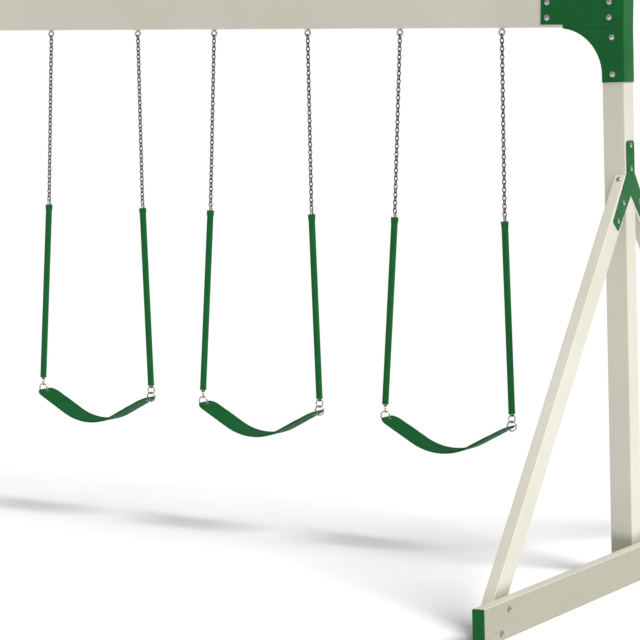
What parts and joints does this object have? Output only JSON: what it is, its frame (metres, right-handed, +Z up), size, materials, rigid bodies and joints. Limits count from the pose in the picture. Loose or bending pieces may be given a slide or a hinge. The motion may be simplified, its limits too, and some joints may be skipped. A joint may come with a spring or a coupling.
{
  "type": "swing set",
  "caption": "Free-standing belt swing set: a white vinyl-sleeved beam on two leaning post-and-leg end frames, with green belt seats hung on chains with green grips.",
  "frame": {"origin": "on the ground, under the middle of the beam", "axes": "+X along the beam, +Y from front to back across the beam, +Z up"},
  "size_m": [4.85, 3.1632, 2.539],
  "materials": {
    "white_vinyl": "satin extruded vinyl",
    "timber": "sawn",
    "green_steel": "powder coat",
    "cap_plastic": "moulded",
    "zinc_steel": "zinc plated",
    "chain_steel": "galvanised",
    "ring_steel": "zinc plated",
    "grip_vinyl": "soft vinyl",
    "seat_rubber": "moulded rubber"
  },
  "bodies": {
    "frame": {"beam_sleeve": "white_vinyl", "beam_timber": "timber", "eye_bolt_nuts_and_washers": "zinc_steel", "eye_bolts": "zinc_steel", "left_back_leg_sleeve": "white_vinyl", "left_corner_bolts": "zinc_steel", "left_corner_bracket": "green_steel", "left_front_leg_sleeve": "white_vinyl", "left_leg_bracket": "green_steel", "left_leg_bracket_and_rail_bolts": "zinc_steel", "left_leg_screws": "zinc_steel", "left_leg_timbers": "timber", "left_nuts_and_washers": "zinc_steel", "left_post_sleeve": "white_vinyl", "left_post_timber": "timber", "left_rail_end_caps": "cap_plastic", "left_rail_sleeve": "white_vinyl", "left_rail_timber": "timber", "right_back_leg_sleeve": "white_vinyl", "right_corner_bolts": "zinc_steel", "right_corner_bracket": "green_steel", "right_front_leg_sleeve": "white_vinyl", "right_leg_bracket": "green_steel", "right_leg_bracket_and_rail_bolts": "zinc_steel", "right_leg_screws": "zinc_steel", "right_leg_timbers": "timber", "right_nuts_and_washers": "zinc_steel", "right_post_sleeve": "white_vinyl", "right_post_timber": "timber", "right_rail_end_caps": "cap_plastic", "right_rail_sleeve": "white_vinyl", "right_rail_timber": "timber"},
    "swing_1_chains": {"swing_1_chain_rings": "ring_steel", "swing_1_connector_links": "ring_steel", "swing_1_left_grip": "grip_vinyl", "swing_1_lower_chains": "chain_steel", "swing_1_right_grip": "grip_vinyl", "swing_1_seat_rings": "ring_steel", "swing_1_upper_chains": "chain_steel"},
    "swing_1_seat": {"swing_1_seat": "seat_rubber", "swing_1_seat_eyelets": "ring_steel"},
    "swing_2_chains": {"swing_2_chain_rings": "ring_steel", "swing_2_connector_links": "ring_steel", "swing_2_left_grip": "grip_vinyl", "swing_2_lower_chains": "chain_steel", "swing_2_right_grip": "grip_vinyl", "swing_2_seat_rings": "ring_steel", "swing_2_upper_chains": "chain_steel"},
    "swing_2_seat": {"swing_2_seat": "seat_rubber", "swing_2_seat_eyelets": "ring_steel"},
    "swing_3_chains": {"swing_3_chain_rings": "ring_steel", "swing_3_connector_links": "ring_steel", "swing_3_left_grip": "grip_vinyl", "swing_3_lower_chains": "chain_steel", "swing_3_right_grip": "grip_vinyl", "swing_3_seat_rings": "ring_steel", "swing_3_upper_chains": "chain_steel"},
    "swing_3_seat": {"swing_3_seat": "seat_rubber", "swing_3_seat_eyelets": "ring_steel"}
  },
  "joints": [
    {"name": "swing_1_hang", "type": "hinge", "parent": "frame", "child": "swing_1_chains", "pos_m": [-0.502, 0, 2.3425], "axis": [1, 0, 0], "range_deg": [-60, 60]},
    {"name": "swing_1_seat_tilt", "type": "hinge", "parent": "swing_1_chains", "child": "swing_1_seat", "pos_m": [-0.502, 0, 0.60158], "axis": [1, 0, 0], "range_deg": [-35, 35]},
    {"name": "swing_2_hang", "type": "hinge", "parent": "frame", "child": "swing_2_chains", "pos_m": [0.44, 0, 2.3425], "axis": [1, 0, 0], "range_deg": [-60, 60]},
    {"name": "swing_2_seat_tilt", "type": "hinge", "parent": "swing_2_chains", "child": "swing_2_seat", "pos_m": [0.44, 0, 0.60158], "axis": [1, 0, 0], "range_deg": [-35, 35]},
    {"name": "swing_3_hang", "type": "hinge", "parent": "frame", "child": "swing_3_chains", "pos_m": [1.432, 0, 2.3425], "axis": [1, 0, 0], "range_deg": [-60, 60]},
    {"name": "swing_3_seat_tilt", "type": "hinge", "parent": "swing_3_chains", "child": "swing_3_seat", "pos_m": [1.432, 0, 0.60158], "axis": [1, 0, 0], "range_deg": [-35, 35]}
  ]
}
